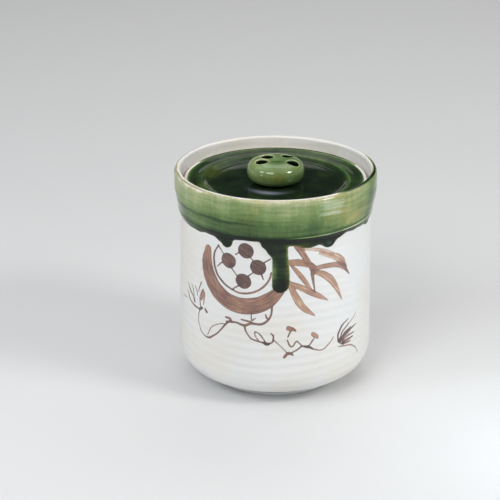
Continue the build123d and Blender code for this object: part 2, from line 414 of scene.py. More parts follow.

# %% [markdown]
# The brushwork is iron pigment, painted on the raw clay before the white glaze and so a little
# blurred by it. Strokes are given on the wall rolled out flat: arc from the front and height,
# in millimetres. Each one has its load of pigment and its widths, evenly spread along its length.
# The pattern is a stock one of such ware: a roundel with linked dots, bamboo leaves, a vine, grasses.

# %% Strokes of the brush
WASH = 0.6
LINE = 0.7
LEAF = 0.36
VINE = 0.6
DOT = 0.88
DOTS = ((-24.5, 143.0), (-40.0, 132.0), (-14.0, 129.5), (-26.5, 116.0))
STROKES = [
    (WASH, (7, 12, 14, 14.5, 14.5, 14.5, 14.5, 13, 9), [(-61, 137.5), (-62.5, 127), (-60.8, 117), (-55.2, 107),
        (-47, 99.5), (-37, 95), (-25.5, 93.8), (-13.5, 96.2), (-4.5, 101.3), (3.5, 109)]),
    (LINE, (1.2, 2.0, 2.2, 1.8, 1.6), [(-50, 143), (-54, 136), (-54.5, 128.5), (-53, 121.5),
        (-49.5, 115.5), (-43.5, 110.5), (-37, 107)]),
    (0.5, (1.6, 1.8, 1.8, 1.6), [(-37, 107), (-29.5, 105), (-21, 106), (-14, 109), (-8.5, 113.5),
        (-4.5, 119.5), (-3, 125)]),
    (LINE, (1.6, 1.2, 1.0), [(-50, 143.5), (-46.5, 139), (-44, 136)]),
    (0.6, (1.2, 1.0), [(-46.5, 129), (-51, 124.5)]),
    (0.6, (1.3, 1.1), [(-38, 127), (-32, 120)]),
    (0.6, (1.3, 1.1), [(-30.5, 111.5), (-35.5, 108)]),
    (0.6, (1.3, 1.1), [(-22.5, 121), (-18, 124.5)]),
    (0.6, (1.3, 1.1), [(-21.5, 138.5), (-17, 134)]),
    (0.6, (1.3, 1.1), [(-33.5, 138.5), (-30.5, 140.5)]),
    (LINE, (1.3, 1.1), [(-9.5, 133.5), (-3.5, 137.5)]),
    (LINE, (1.6, 1.2), [(-11.5, 124.5), (-9.5, 119)]),
    (0.46, (5.2, 5.0, 4.4, 3.4), [(18, 148), (24.5, 138.5), (29.5, 130), (32.5, 122.5)]),
    (0.44, (4.5, 6.0, 5.6, 4.6), [(10.5, 134), (19.5, 133.5), (29, 130.5), (34, 126.5)]),
    (0.36, (1.6, 3.8, 4.2, 3.2, 1.0), [(12.5, 132.5), (19.5, 124), (26, 115), (32.5, 105.5)]),
    (0.5, (3.4, 2.2, 1.0), [(31.5, 123), (32.5, 115), (34, 106.5)]),
    (0.46, (3.0, 4.4, 4.6, 3.8, 1.2), [(32, 126.5), (42.5, 127), (55, 125.5), (64, 120.5), (70, 113.5)]),
    (0.16, (2.4, 3.0, 3.2, 3.0, 1.6), [(20, 145.5), (33, 143.5), (45, 139.5), (55, 133), (63, 124), (68.5, 116)]),
    (0.24, (1.0, 5.0, 6.0, 2.0), [(48, 137), (55, 133.5), (61, 128), (66, 121)]),
    (0.06, (2.0, 4.0, 4.6, 3.0), [(38, 139), (46, 136), (54, 132), (61, 126)]),
    (LEAF, (3.4, 5.6, 6.6, 5.4, 3.0, 0.9), [(32, 124), (41, 120.5), (49.5, 113.5), (56, 103.5), (61.5, 92.5)]),
    (LEAF, (4.2, 5.0, 5.6, 4.6, 1.0), [(11, 116), (21, 111.5), (32, 105), (46.5, 96)]),
    (LEAF, (3.8, 5.4, 6.4, 5.0, 1.2), [(11.5, 116.5), (17.5, 103), (24, 93), (34, 84.5)]),
    (VINE, (1.2, 1.0, 1.0, 1.3, 1.8), [(-71.5, 79.5), (-73.5, 72), (-72.5, 66), (-70, 61), (-64, 57.2), (-59, 57.5)]),
    (VINE, (1.8, 1.4, 1.4, 2.0), [(-59, 57.5), (-50.5, 64.5), (-42, 75), (-38.5, 78)]),
    (0.45, (0.9, 0.9, 0.9), [(-61.5, 59.5), (-57, 68), (-48, 73.5), (-42.5, 74.5)]),
    (VINE, (2.0, 1.8, 2.4, 2.2, 2.0, 1.6, 1.8), [(-41.5, 77), (-33, 78), (-25.5, 76.5), (-19.5, 79), (-11.5, 79),
        (-6, 82.5), (-3, 88), (-2, 97.5)]),
    (VINE, (1.6, 2.4, 1.6), [(-42.5, 81), (-38.5, 80.5), (-36.5, 77.5)]),
    (VINE, (1.4, 1.8, 1.2), [(-28, 81.5), (-20.5, 80.5), (-15.5, 79)]),
    (0.55, (1.1, 1.2, 1.0), [(-19.5, 87), (-19, 82), (-16, 84)]),
    (0.5, (1.2, 1.6), [(-7.5, 88), (-6.5, 84.5)]),
    (VINE, (1.8, 1.4, 1.4, 1.6, 1.6, 1.4), [(-25.5, 76), (-23.5, 70.5), (-19.5, 65.5), (-13.5, 63.5),
        (-6.5, 62), (-2, 63), (-1, 68.5), (-3, 71)]),
    (0.6, (1.0, 1.3, 1.2, 1.0), [(-16.5, 72), (-13.5, 71), (-10, 67), (-7, 62.5)]),
    (0.55, (1.0, 1.1, 1.0), [(-16.5, 72), (-16, 68), (-13, 64)]),
    (DOT, (2.2, 3.0, 2.0), [(-9, 62.5), (-7, 61.5), (-5, 61)]),
    (0.55, (1.0, 1.0, 1.1), [(-1, 65.5), (6, 58.5), (10.5, 53)]),
    (VINE, (2.4, 2.6, 1.4), [(8, 49.5), (11.5, 53), (15.5, 51)]),
    (0.7, (1.4, 1.3, 1.5, 1.6), [(12, 52), (16, 54), (19, 55.5), (23, 58.3), (27, 57.5)]),
    (DOT, (1.6, 2.8, 2.4, 1.4), [(25, 57.8), (28.5, 57), (32, 55)]),
    (0.5, (1.4, 1.1, 1.1, 0.9), [(32, 54.5), (40.5, 52), (47, 55), (52.5, 61)]),
    (0.6, (1.2, 1.2, 1.5, 1.3), [(23, 58.5), (19.5, 62.5), (18, 63), (15, 59), (12.5, 60), (10.5, 65)]),
    (0.5, (4.2, 3.4, 1.2), [(11.5, 75.5), (16, 74), (17.5, 72.5)]),
    (0.6, (1.4, 1.1), [(13, 72.5), (11, 67.5)]),
    (0.45, (3.6, 4.4, 1.6), [(32.5, 68), (36, 65), (37, 63.5)]),
    (0.6, (1.6, 1.1), [(33, 63), (29.5, 58.5)]),
    (LINE, (0.9, 1.5, 1.8, 2.4), [(-92, 97), (-87, 92.5), (-81.5, 88), (-79, 84)]),
    (LINE, (1.0, 1.6, 2.0, 1.6), [(-91.5, 90), (-87.5, 84), (-81, 80.5), (-74.5, 79.5)]),
    (VINE, (0.9, 1.4, 1.0), [(-84, 99), (-81.5, 94), (-80, 89.5)]),
    (VINE, (0.9, 1.4, 1.0), [(-78.5, 99), (-76, 95), (-75, 91)]),
    (VINE, (1.4, 1.2, 0.9), [(-69.5, 105), (-72, 99.5), (-73.5, 95)]),
    (0.5, (0.9, 1.2, 1.4, 1.6), [(-68.5, 98), (-71, 92), (-71.5, 86.5), (-70, 81)]),
    (0.34, (2.2, 3.2, 1.8), [(-67, 98.5), (-68, 94), (-69.5, 89)]),
    (0.34, (1.6, 1.8, 1.0), [(-65.8, 97), (-66, 91.5), (-67, 85)]),
    (0.35, (0.9, 1.1), [(-103, 81.5), (-93.5, 82.5)]),
    (DOT, (2.4, 2.0, 2.2), [(-72.5, 79.5), (-70, 80.5), (-68.5, 82)]),
    (DOT, (1.4, 2.8), [(-65, 82.5), (-63, 80)]),
    (LINE, (1.4, 2.2, 1.8, 0.9), [(58, 54.5), (57.5, 61), (61.5, 68), (69.5, 72.5)]),
    (VINE, (1.0, 1.8, 1.2), [(58.5, 56), (63, 63), (70, 68)]),
    (0.5, (1.0, 1.4, 1.0), [(58.5, 55.5), (64.5, 60.5), (73, 64)]),
    (LINE, (1.2, 2.8, 1.2), [(59, 55.5), (69, 60.5), (80.5, 64)]),
    (VINE, (1.2, 2.2, 1.0), [(60, 55), (69, 57), (78, 57.5)]),
    (VINE, (1.0, 2.4, 1.2), [(61, 54.5), (68, 53.5), (76.5, 54)]),
    (0.5, (1.0, 2.0, 1.0), [(62, 53.2), (67, 51.3), (73, 51)]),
    (DOT, (1.2, 2.0), [(61, 52.2), (64, 51.2)]),
    (0.35, (0.8, 0.9, 0.8), [(66, 66), (75, 70), (81, 75)]),
    (DOT, (2.4, 2.0), [(58.5, 55.5), (60, 53.5)]),
    (0.5, (1.0, 1.3, 1.1, 0.9), [(58, 50.5), (65, 48.8), (73.5, 46.8), (81, 41.5), (84, 35.5)]),
] + [(DOT, (12.6, 12.8), [(arc - 0.5, height + 0.3), (arc + 0.5, height - 0.3)]) for arc, height in DOTS]
print(len(STROKES), "strokes")

# %% [markdown]
# Each wall point keeps its distance to the nearest stroke's edge, in millimetres and negative
# inside. A distance stays sharp between points where a painted yes or no would turn into steps. It
# also keeps the load, and where it lies along and across the stroke, so that bristle marks follow.

# %% Painting the wall


def curve_through(points, step=0.3):
    """Smooth line through given points, with the length travelled at each of its samples."""
    points = np.array(points, dtype=float)
    padded = np.vstack([2 * points[0] - points[1], points, 2 * points[-1] - points[-2]])
    samples = [points[:1]]
    for a, b, c, d in zip(padded, padded[1:], padded[2:], padded[3:]):
        count = max(2, round(math.dist(b, c) / step))
        t = np.linspace(0, 1, count + 1)[1:, None]
        bend = (2 * a - 5 * b + 4 * c - d) * t**2 + (3 * b - a - 3 * c + d) * t**3
        samples.append(b + 0.5 * ((c - a) * t + bend))
    line = np.vstack(samples)
    travel = np.concatenate([[0], np.cumsum(np.hypot(*np.diff(line, axis=0).T))])
    return line, travel


PAINT_REACH = 4.0
NO_PAINT = 6.0


def paint(turn, height):
    """Distance to a stroke's edge, pigment load, and place along and across, for points of the wall."""
    arc = ((turn + math.pi) % math.tau - math.pi) * (BELLY_RADIUS + TOP_RADIUS) / 2
    shape = arc.shape
    arc = arc.reshape(-1)
    height = height.reshape(-1)
    edge = np.full(arc.size, NO_PAINT)
    load = np.zeros(arc.size)
    along = np.zeros(arc.size)
    across = np.zeros(arc.size)
    for number, (ink, widths, points) in enumerate(STROKES):
        line, travel = curve_through(points)
        half = np.interp(travel / travel[-1], np.linspace(0, 1, len(widths)), widths) / 2
        low = line.min(0) - half.max() - PAINT_REACH
        high = line.max(0) + half.max() + PAINT_REACH
        near = (arc > low[0]) & (arc < high[0]) & (height > low[1]) & (height < high[1])
        near = np.flatnonzero(near)
        gap = np.hypot(arc[near, None] - line[:, 0], height[near, None] - line[:, 1]) - half
        best = gap.argmin(1)
        gap = gap[np.arange(near.size), best]
        direction = np.gradient(line, axis=0)[best]
        direction /= np.hypot(direction[:, 0], direction[:, 1])[:, None]
        offset = np.stack([arc[near], height[near]], 1) - line[best]
        forward = (direction * offset).sum(1)
        sideways = direction[:, 0] * offset[:, 1] - direction[:, 1] * offset[:, 0]
        nearest = gap < edge[near]
        chosen = near[nearest]
        edge[chosen] = gap[nearest]
        along[chosen] = (travel[best] + forward + 40.0 * number)[nearest]
        across[chosen] = sideways[nearest]
        inside = near[gap < 0.9]
        load[inside] = np.where(load[inside] > 0, np.maximum(load[inside], ink) + 0.06, ink)
    return [value.reshape(shape) for value in (edge, load, along, across)]


# %% [markdown]
# The wall is one closed shell of clay: the underside, the rounded corner, the wall itself, the hidden
# stretch under the collar, and then down the inside to the floor. The corner is a little squarer
# than a quarter ellipse, which a power just over 2 gives.

# %% The wall


def wall_radius(height):
    share = (height - CORNER_TOP) / (COLLAR_LOW - CORNER_TOP)
    return BELLY_RADIUS + (TOP_RADIUS - BELLY_RADIUS) * share


def wall_outline():
    power = 2 / CORNER_POWER
    corner = [
        (
            FOOT_RADIUS + (BELLY_RADIUS - FOOT_RADIUS) * math.sin(angle) ** power,
            CORNER_TOP - (CORNER_TOP - FOOT_HEIGHT) * math.cos(angle) ** power,
        )
        for angle in np.linspace(0, math.pi / 2, 26)
    ]
    inside = BELLY_RADIUS - WALL_THICKNESS
    floor = FOOT_HEIGHT + FLOOR_THICKNESS
    hollow = [
        (inside - INNER_CORNER * (1 - math.cos(angle)), floor + INNER_CORNER * (1 - math.sin(angle)))
        for angle in np.linspace(0, math.pi / 2, 8)
    ]
    outer = rows([(0, FOOT_HEIGHT), (FOOT_RADIUS, FOOT_HEIGHT)], 14) + corner[1:]
    outer += rows([corner[-1], (TOP_RADIUS, COLLAR_LOW)], 0.76)[1:]
    outer += [(TOP_RADIUS, WALL_TOP), (TOP_RADIUS - WALL_THICKNESS, WALL_TOP)]
    outer += rows([outer[-1], (inside, CORNER_TOP + INNER_CORNER)], 8)[1:]
    return outer + hollow + rows([hollow[-1], (0, floor)], 14)[1:]


def jar_free(turn, out, up):
    """How strongly the wheel's marks show: most low on the wall, none where the foot stands flat."""
    return smooth_step(FOOT_HEIGHT, FOOT_HEIGHT + 14, up) * (1 - 0.6 * smooth_step(70, 140, up))


wall = wheel_sheet("jar_wall", columns(78, 0.52, 2.0), wall_outline(), free=jar_free)
print("wall sheet points:", len(wall.data.vertices))


# %% [markdown]
# Iron under a milky glaze is never one flat brown. Thin pigment burns to a warm tan and heavy pigment
# to a dark umber, bristles leave streaks along the stroke, and the wet edge dries darker. All of it
# comes from the four numbers that each wall point carries.

# %% Paint and finish of the wall


def keep_values(piece, **values):
    """Writes numbers onto a finished piece's points, for its material to read."""
    for label, numbers in values.items():
        layer = piece.data.attributes.new(label, "FLOAT", "POINT")
        layer.data.foreach_set("value", np.asarray(numbers, dtype=np.float32).reshape(-1))


def kept_values(piece, label):
    numbers = np.empty(len(piece.data.vertices), dtype=np.float32)
    piece.data.attributes[label].data.foreach_get("value", numbers)
    return numbers.astype(float)


def attribute(wiring, label):
    node = wiring.add("ShaderNodeAttribute", attribute_type="GEOMETRY", attribute_name=label)
    return node.outputs["Fac"]


IRON_TONES = (
    (0.0, (0.64, 0.47, 0.33)),
    (0.3, (0.47, 0.275, 0.175)),
    (0.55, (0.30, 0.150, 0.098)),
    (0.75, (0.165, 0.078, 0.062)),
    (1.0, (0.066, 0.030, 0.028)),
)


def painted_material():
    material, wiring, place, shader = start_material("painted_white_glaze", 0.3)
    glaze = place_group(wiring, PALE_GROUP, Place=place, Tone=(*WHITE, 1.0))
    ragged = wiring.math("SUBTRACT", wiring.noise(place, 900.0, 2.0), 0.5)
    edge = wiring.math("ADD", attribute(wiring, "stroke"), wiring.math("MULTIPLY", ragged, 0.5))
    mask = wiring.fit(edge, -0.25, 0.25, 1.0, 0.0)
    bristle = wiring.add(
        "ShaderNodeCombineXYZ",
        {0: wiring.math("MULTIPLY", attribute(wiring, "along"), 0.10), 1: attribute(wiring, "across")},
    )
    streak = wiring.math("SUBTRACT", wiring.noise(bristle.outputs[0], 0.75, 5.0, 0.6), 0.5)
    pool = wiring.math("SUBTRACT", wiring.noise(place, 75.0, 3.0), 0.5)
    load = attribute(wiring, "load")
    load = wiring.math("ADD", load, wiring.math("MULTIPLY", streak, 1.25))
    load = wiring.math("ADD", load, wiring.math("MULTIPLY", pool, 0.5))
    load = wiring.math("ADD", load, wiring.fit(attribute(wiring, "stroke"), -0.9, -0.15, 0.0, 0.2))
    iron = wiring.ramp(load, IRON_TONES)
    cover = wiring.math("MULTIPLY", mask, wiring.fit(load, -0.2, 0.35, 0.45, 0.96))
    wiring.feed(shader.inputs["Base Color"], wiring.mix(cover, glaze["Color"], iron))
    wiring.feed(shader.inputs["Roughness"], glaze["Roughness"])
    raise_surface(wiring, shader, glaze["Height"], 0.02)
    return material


throw(wall, painted_material())
turn, out, up = (kept_values(wall, label) for label in ("turn", "out", "up"))
edge, load, along, across = paint(turn, up)
outside = out > wall_radius(up) - 1
keep_values(wall, stroke=np.where(outside, edge, NO_PAINT), load=load, along=along, across=across)
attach(wall, "jar")
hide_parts("jar_body")
print("painted points:", int((edge < 0).sum()))

# %% [markdown]
# Foot ring, gallery and lid plate keep the shape of their solids, because they are plain turned
# rings. They take the pale glaze, and the foot's glaze also carries a band of painted shade.

# %% Plain turned pieces


def dress(node, material):
    nodes[node].data.materials.clear()
    nodes[node].data.materials.append(material)


def foot_material():
    """Glaze whiter than the wall's, as painted light on a shaded foot, with a grey band of painted shade round the
    ring.
    """
    material, wiring, place, shader = start_material("foot_glaze_painted_shade", 0.3)
    glaze = place_group(wiring, PALE_GROUP, Place=place, Tone=(0.86, 0.86, 0.86, 1.0))
    rise = wiring.add("ShaderNodeSeparateXYZ", {0: place}).outputs[2]
    # painted shade: a grey band a few millimetres up the ring, where the overhanging wall shades it
    line = wiring.math("MULTIPLY", wiring.fit(rise, 0.0022, 0.0032), wiring.fit(rise, 0.0056, 0.0072, 0.62, 0.0))
    wiring.feed(shader.inputs["Base Color"], wiring.mix(line, glaze["Color"], (0.20, 0.20, 0.21, 1.0)))
    wiring.feed(shader.inputs["Roughness"], glaze["Roughness"])
    raise_surface(wiring, shader, glaze["Height"], 0.02)
    return material


dress("foot_ring", foot_material())
dress("lid_ledge", CREAM)

# %% [markdown]
# Copper-green glaze changes with its depth: a thin film over white is yellowish and shows streaks,
# a run is bottle green, and a pool is nearly black. The group turns a depth from 0 to 1 into colour,
# with streaks that hang down, clouds, and olive where iron or heat turned it.

# %% The copper glaze as a node group
GREEN_TONES = (
    (0.0, (0.70, 0.66, 0.52)),
    (0.15, (0.37, 0.42, 0.23)),
    (0.32, (0.19, 0.285, 0.105)),
    (0.5, (0.082, 0.155, 0.048)),
    (0.7, (0.030, 0.066, 0.022)),
    (0.86, (0.010, 0.024, 0.010)),
    (1.0, (0.004, 0.009, 0.005)),
)


# colour of a painted reflection: a pale bluish band on the lid's pool in front of the knob
PAINTED_REFLECTION_BLUE = (0.27, 0.29, 0.34, 1.0)


def copper_glaze_group():
    wiring, given, result = new_group(
        "copper_glaze",
        "ShaderNodeTree",
        (
            ("Place", "NodeSocketVector", None),
            ("Depth", "NodeSocketFloat", 0.5),
            ("Olive", "NodeSocketFloat", 0.0),
            ("Streaks", "NodeSocketFloat", 0.3),
            ("Bands", "NodeSocketFloat", 0.1),
            ("Clouds", "NodeSocketFloat", 0.3),
        ),
        (("Color", "NodeSocketColor"), ("Roughness", "NodeSocketFloat"), ("Height", "NodeSocketFloat")),
    )
    place = given["Place"]
    hang = wiring.add("ShaderNodeVectorMath", {0: place, 1: (1.0, 1.0, 0.10)}, operation="MULTIPLY").outputs[0]
    streak = wiring.math("SUBTRACT", wiring.noise(hang, 260.0, 4.0), 0.5)
    turned = wiring.add("ShaderNodeVectorMath", {0: place, 1: (0.12, 0.12, 1.0)}, operation="MULTIPLY").outputs[0]
    band = wiring.math("SUBTRACT", wiring.noise(turned, 330.0, 3.0), 0.5)
    cloud = wiring.math("SUBTRACT", wiring.noise(place, 55.0, 5.0, 0.6), 0.5)
    grain = wiring.math("SUBTRACT", wiring.noise(place, 700.0, 2.0), 0.5)
    depth = wiring.math("ADD", given["Depth"], wiring.math("MULTIPLY", streak, given["Streaks"]))
    depth = wiring.math("ADD", depth, wiring.math("MULTIPLY", band, given["Bands"]))
    depth = wiring.math("ADD", depth, wiring.math("MULTIPLY", cloud, given["Clouds"]))
    depth = wiring.math("ADD", depth, wiring.math("MULTIPLY", grain, 0.16))
    green = wiring.ramp(depth, GREEN_TONES)
    olive = wiring.mix(1.0, green, (1.55, 0.95, 0.6, 1.0), "MULTIPLY")
    patch = wiring.fit(wiring.noise(place, 38.0, 3.0), 0.5, 0.68, 0.0, 0.25)
    share = wiring.math("ADD", given["Olive"], patch, clamp=True)
    wiring.feed(result["Color"], wiring.mix(share, green, olive))
    wiring.feed(result["Roughness"], wiring.fit(cloud, -0.2, 0.25, 0.06, 0.13))
    wave = wiring.math("MULTIPLY", wiring.noise(place, 45.0, 2.0), 4.0)
    wiring.feed(result["Height"], wiring.math("ADD", wave, wiring.noise(place, 240.0, 2.0)))
    return wiring.tree


COPPER_GROUP = copper_glaze_group()


def copper_material(name, streaks, bands, clouds, satin=0.0, gloss=0.5):
    """Copper glaze that thins out to the pale glaze where its depth runs to nothing."""
    material, wiring, place, shader = start_material(name, 0.1)
    shader.inputs["Specular IOR Level"].default_value = gloss
    depth = attribute(wiring, "depth")
    copper = place_group(
        wiring,
        COPPER_GROUP,
        Place=place,
        Depth=depth,
        Olive=attribute(wiring, "olive"),
        Streaks=streaks,
        Bands=bands,
        Clouds=clouds,
    )
    pale = place_group(wiring, PALE_GROUP, Place=place, Tone=(*WARM_WHITE, 1.0))
    ragged = wiring.math("MULTIPLY", wiring.math("SUBTRACT", wiring.noise(place, 330.0, 3.0), 0.5), 0.12)
    share = wiring.fit(wiring.math("ADD", depth, ragged), 0.02, 0.12)
    colour = wiring.mix(share, pale["Color"], copper["Color"])
    # painted reflection: mixes in the pale bluish band where a piece carries that value
    colour = wiring.mix(attribute(wiring, "milk"), colour, PAINTED_REFLECTION_BLUE)
    wiring.feed(shader.inputs["Base Color"], colour)
    rough = wiring.math("ADD", wiring.math("MULTIPLY", wiring.math("SUBTRACT", 1.0, share), 0.2), satin)
    wiring.feed(shader.inputs["Roughness"], wiring.math("ADD", copper["Roughness"], rough))
    raise_surface(wiring, shader, copper["Height"], 0.03)
    return material


COLLAR_COPPER = copper_material("green_glaze", 0.17, 0.30, 0.24, 0.03, 0.28)
LID_COPPER = copper_material("deep_green_glaze", 0.0, 0.0, 0.42, 0.0, 0.15)
KNOB_COPPER = copper_material("knob_green_glaze", 0.05, 0.08, 0.28)
print("copper glazes:", COLLAR_COPPER.name, LID_COPPER.name, KNOB_COPPER.name)

# %% [markdown]
# The collar is a thick band round the mouth. It swells to its fullest two thirds of the way up and
# ends in a soft lip, and its inner face leans in a little towards the lid. Under its green coat only
# the lip and the inner face show, so its rows are close together there.

# %% The collar and its lip


def collar_radius(height):
    """Outer outline of the clay collar at a height, with the lip's round at the top."""
    share = np.clip((height - COLLAR_LOW) / (COLLAR_FULLEST - COLLAR_LOW), 0, 1)
    swell = 0.65 * (share**3 - 2 * share**2 + share) + (3 - 2 * share) * share**2
    low = TOP_RADIUS + COLLAR_EDGE
    over = np.clip(height - (RIM_TOP - LIP_ROUND), 0, LIP_ROUND)
    drawn_in = LIP_ROUND - np.sqrt(LIP_ROUND**2 - over**2)
    return low + (COLLAR_RADIUS - low) * swell - drawn_in


def collar_outline():
    outside = [(float(collar_radius(z)) - 0.05, z) for z in np.linspace(COLLAR_LOW, RIM_TOP - LIP_ROUND, 12)]
    lip_out = COLLAR_RADIUS - LIP_ROUND
    lip_in = COLLAR_RADIUS - LIP_THICKNESS + LIP_ROUND
    quarter = np.linspace(0, math.pi / 2, 9)
    outer_round = [(lip_out + LIP_ROUND * math.cos(a), RIM_TOP - LIP_ROUND * (1 - math.sin(a))) for a in quarter]
    inner_round = [(lip_in - LIP_ROUND * math.sin(a), RIM_TOP - LIP_ROUND * (1 - math.cos(a))) for a in quarter]
    inner_face = rows([inner_round[-1], (MOUTH_RADIUS, SEAT_HEIGHT)], 1.0)[1:]
    ends = [(TOP_RADIUS, SEAT_HEIGHT), (TOP_RADIUS, COLLAR_LOW)]
    return outside + outer_round[1:] + inner_round + inner_face + ends


def wavy(turn, seed, lobes=6):
    """Smooth uneven curve round the jar, from about -1 to 1, the same in each run."""
    chance = np.random.default_rng(seed)
    total = np.zeros_like(turn)
    for lobe in range(1, lobes + 1):
        total += chance.normal() / lobe**0.5 * np.sin(lobe * turn + chance.uniform(0, math.tau))
    return total / 2.2


collar = wheel_sheet("rim_collar_lip", all_round(0.8), collar_outline(), ring=True, free=jar_free)
throw(collar, copper_material("lip_glaze", 0.10, 0.0, 0.12))
turn, out, up = (kept_values(collar, label) for label in ("turn", "out", "up"))
shoulder = smooth_step(COLLAR_RADIUS - 2.3, COLLAR_RADIUS - 0.9, out + 0.35 * wavy(turn, 5, 30))
degrees = np.degrees(turn)
crest_place = COLLAR_RADIUS - np.interp(degrees, (44, 70, 86, 110), (2.4, 2.5, 1.1, 0.5))
crest_line = np.exp(-(((out - crest_place) / 1.4) ** 2)) * (up > RIM_TOP - 2.4)
dark_side = smooth_step(36, 47, degrees) * smooth_step(116, 102, degrees)
worn = smooth_step(62, 30, np.abs(degrees))
keep_values(collar, depth=(0.2 - 0.09 * worn) * shoulder + 1.0 * dark_side * crest_line, olive=0.2 + 0.0 * turn)
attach(collar, "jar")
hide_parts("rim_collar")
print("lip points:", len(collar.data.vertices))

# %% [markdown]
# The green coat hangs over the collar, ends in a wavy band just under it, and runs down the wall in a
# few places. A distance says how far each point is inside the glaze: the band and every run have
# their own, and a soft union joins them with the fillets that flowing glaze has.

# %% Where the green glaze runs
RUNS = (
    (-29, 10.6, 143.1),
    (-33.5, 10, 147.2),
    (3.1, 14.2, 107.4),
    (-0.5, 12.5, 139.0),
    (-4.5, 10, 145.6),
    (20, 24, 145.6),
    (33, 15, 142.8),
    (70, 16, 148.2),
    (98, 16, 145.5),
    (133, 12, 132.5),
    (168, 22, 146.5),
    (206, 13, 120.5),
    (238, 18, 144.5),
    (266, 12, 146.5),
)
BAND_EDGE = (
    (-75, 149.9), (-60, 149.0), (-50, 149.2), (-45, 150.3), (-38, 149.8), (-26, 150.6), (-18, 151.8),
    (-9, 151.6), (10, 147.6), (28, 146.6), (40, 148.8), (46, 150.9), (70, 150.3), (110, 149.6), (150, 150.2),
    (190, 149.4), (230, 150.4), (260, 149.8),
)
HALF_GIRTH = math.pi * TOP_RADIUS


def around(arc):
    """The same arc counted from -half to half of the girth."""
    return (arc + HALF_GIRTH) % (2 * HALF_GIRTH) - HALF_GIRTH


def soft_union(first, second, reach=3.0):
    share = np.clip(0.5 + 0.5 * (first - second) / reach, 0, 1)
    return second + (first - second) * share + reach * share * (1 - share)


def glaze_distance(arc, height):
    """Millimetres inside the green glaze's lower edge, negative outside it."""
    places = np.radians([turn for turn, _ in BAND_EDGE]) * TOP_RADIUS
    levels = [level for _, level in BAND_EDGE]
    turn = arc / TOP_RADIUS
    level = np.interp(around(arc - places[0]) % (2 * HALF_GIRTH), (places - places[0]), levels, period=2 * HALF_GIRTH)
    distance = height - level - 0.35 * wavy(turn, 8, 40)
    for place, width, tip in RUNS:
        side = around(arc - math.radians(place) * TOP_RADIUS)
        bottom = tip + width / 2
        side = side + 0.5 * np.sin((height - tip) / 9.0 + place)
        below = np.clip(bottom - height, 0, None)
        narrow = 0.6 * smooth_step(tip + width, tip + 2.5 * width, height)
        distance = soft_union(distance, width / 2 - narrow - np.hypot(side, below))
    return distance


# %% [markdown]
# The coat itself is a closed shell. Points of a grid outside the edge are pulled back onto it, so the
# edge is smooth and not stepped. Its face stands 0.8 mm proud, rounds off over 3 mm at the edge, is
# fattest at the tips of the runs, and fades to nothing over the lip. Its back lies inside the clay.

# %% The green coat
COAT_TOP = RIM_TOP - 0.5
BEAD = 3.2


def coat_base(height):
    """Outline that the coat lies on: the collar, and the wall below it, without the step between."""
    share = smooth_step(COLLAR_LOW - 2.0, COLLAR_LOW + 0.6, height)
    return wall_radius(height) * (1 - share) + collar_radius(np.maximum(height, COLLAR_LOW)) * share


def coat_proud(arc, height, distance):
    """How far the coat's face stands off the clay."""
    rounding = 1 - np.clip(distance / BEAD, 0, 1)
    tips = np.zeros_like(height)
    for place, width, tip in RUNS:
        side = around(arc - math.radians(place) * TOP_RADIUS)
        tips += np.exp(-((side / (0.6 * width)) ** 2) - ((height - tip - 0.5 * width) / (0.7 * width)) ** 2)
    roll = 0.30 * np.exp(-(((height - COLLAR_LOW - 0.6) / 1.1) ** 2))
    fade = smooth_step(COAT_TOP, COAT_TOP - 3.2, height)
    return (COAT + 0.35 * tips + roll) * np.sqrt(1 - rounding**2) * fade


def green_coat():
    turns = columns(80, 0.56, 1.0)
    levels = np.concatenate([np.arange(COAT_TOP, COLLAR_LOW - 12, -0.75), np.arange(COLLAR_LOW - 12, 105, -0.8)])
    turn, height = np.meshgrid(turns, levels)
    arc = turn * TOP_RADIUS
    distance = glaze_distance(arc, height)
    small = 0.05
    slope_arc = (glaze_distance(arc + small, height) - glaze_distance(arc - small, height)) / (2 * small)
    slope_up = (glaze_distance(arc, height + small) - glaze_distance(arc, height - small)) / (2 * small)
    steep = np.maximum(slope_arc**2 + slope_up**2, 0.2)
    quads = sheet_faces(len(levels), len(turns))[:, ::-1]
    inside = distance.reshape(-1) > 0
    quads = quads[inside[quads].any(1)]
    outside = distance < 0
    arc = np.where(outside, arc - distance * slope_arc / steep, arc)
    height = np.where(outside, height - distance * slope_up / steep, height)
    distance = np.maximum(distance, 0)
    face = coat_base(height) + coat_proud(arc, height, distance)
    back = coat_base(height) - 0.3
    edges = np.concatenate([quads[:, [i, (i + 1) % 4]] for i in range(4)])
    kept, packed = np.unique(quads, return_inverse=True)
    packed = packed.reshape(quads.shape)
    edges = np.concatenate([packed[:, [i, (i + 1) % 4]] for i in range(4)])
    both = {tuple(edge) for edge in edges.tolist()}
    rim = [(a, b) for a, b in both if (b, a) not in both]
    count = len(kept)
    faces = packed.tolist() + (packed[:, ::-1] + count).tolist() + [(b, a, a + count, b + count) for a, b in rim]

    def flat(values):
        values = values.reshape(-1)[kept]
        return np.concatenate([values, values])

    turn = flat(arc / TOP_RADIUS)
    up = flat(height)
    out = np.concatenate([face.reshape(-1)[kept], back.reshape(-1)[kept]])
    places = np.stack([out * np.sin(turn), -out * np.cos(turn), up], 1)
    values = {"turn": turn, "out": out, "up": up, "free": jar_free(turn, out, up), "inset": flat(distance)}
    return new_mesh("collar_green_coat", places, faces, values)


coat = green_coat()
throw(coat, COLLAR_COPPER)

# %% [markdown]
# The coat's depth of colour goes from almost nothing over the lip to a dark line under the collar,
# partly glaze that gathers there and partly painted shade of the collar's overhang. A groove shows
# darker on the left, thin edges of the runs are lighter, and the glaze is yellower towards the right,
# where the flame reached it. A thin light line along the collar's lower edge on the right is partly
# glaze that broke thin over the edge and partly a painted highlight.

# %% Depth of the green coat


def bump_at(value, centre, width):
    return np.exp(-(((value - centre) / width) ** 2))


